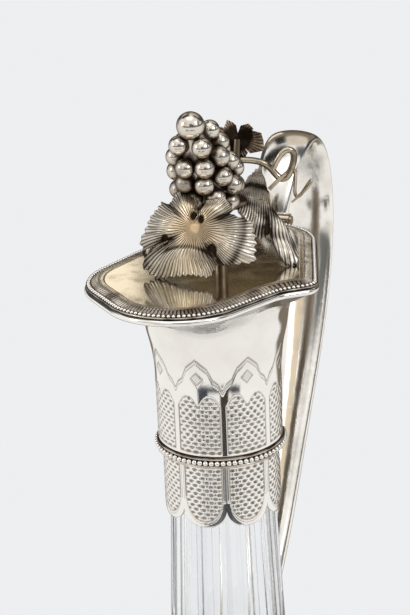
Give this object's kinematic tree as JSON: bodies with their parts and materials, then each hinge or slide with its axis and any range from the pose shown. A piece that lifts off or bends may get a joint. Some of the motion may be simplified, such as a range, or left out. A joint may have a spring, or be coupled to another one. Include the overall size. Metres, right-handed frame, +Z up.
{
  "type": "claret jug",
  "caption": "Tall cut-glass wine jug with a silver collar, shield-shaped mouth, hinged lid with a grape and vine-leaf finial, and a high loop handle",
  "frame": {"origin": "centre of the glass foot, on the table", "axes": "+Z up along the jug's axis, +X towards the handle, the spout along -X"},
  "size_m": [0.1589, 0.106, 0.2963],
  "materials": {
    "cut_glass": "clear colourless crystal, cut and polished",
    "plaster": null,
    "polished_silver": "polished silver, warm, with soft tarnish in its recesses",
    "toned_silver": "chased silver with brown toning in its hollows"
  },
  "bodies": {
    "jug": {"glass_body": "cut_glass", "neck_plaster": "plaster", "collar_skirt": "polished_silver", "ring_band": "toned_silver", "ring_beads": "toned_silver", "collar_mouth": "polished_silver", "mouth_rim": "polished_silver", "hinge_bracket": "polished_silver", "hinge_pin": "polished_silver", "handle_socket": "polished_silver", "handle": "polished_silver", "neck_band": "polished_silver", "band_boss": "polished_silver"},
    "lid": {"lid_border": "toned_silver", "lid_beads": "toned_silver", "lid_plate": "polished_silver", "lid_lip": "polished_silver", "lid_knuckle": "polished_silver", "finial_stud": "polished_silver", "finial_washer": "polished_silver", "finial_nut": "polished_silver", "vine_stem": "toned_silver", "grape_core": "toned_silver", "grape_tip": "polished_silver", "grape_tier_1": "polished_silver", "grape_tier_2": "polished_silver", "grape_tier_3": "polished_silver", "grape_tier_4": "polished_silver", "grape_tier_5": "polished_silver", "leaf_front": "toned_silver", "leaf_near": "toned_silver", "leaf_far": "toned_silver", "leaf_back": "toned_silver", "tendril_loop": "toned_silver", "tendril_coil": "toned_silver"}
  },
  "joints": [
    {"name": "lid_hinge", "type": "hinge", "parent": "jug", "child": "lid", "pos_m": [0.0527, 0, 0.24384], "axis": [0, 1, 0], "range_deg": [0, 70]}
  ]
}
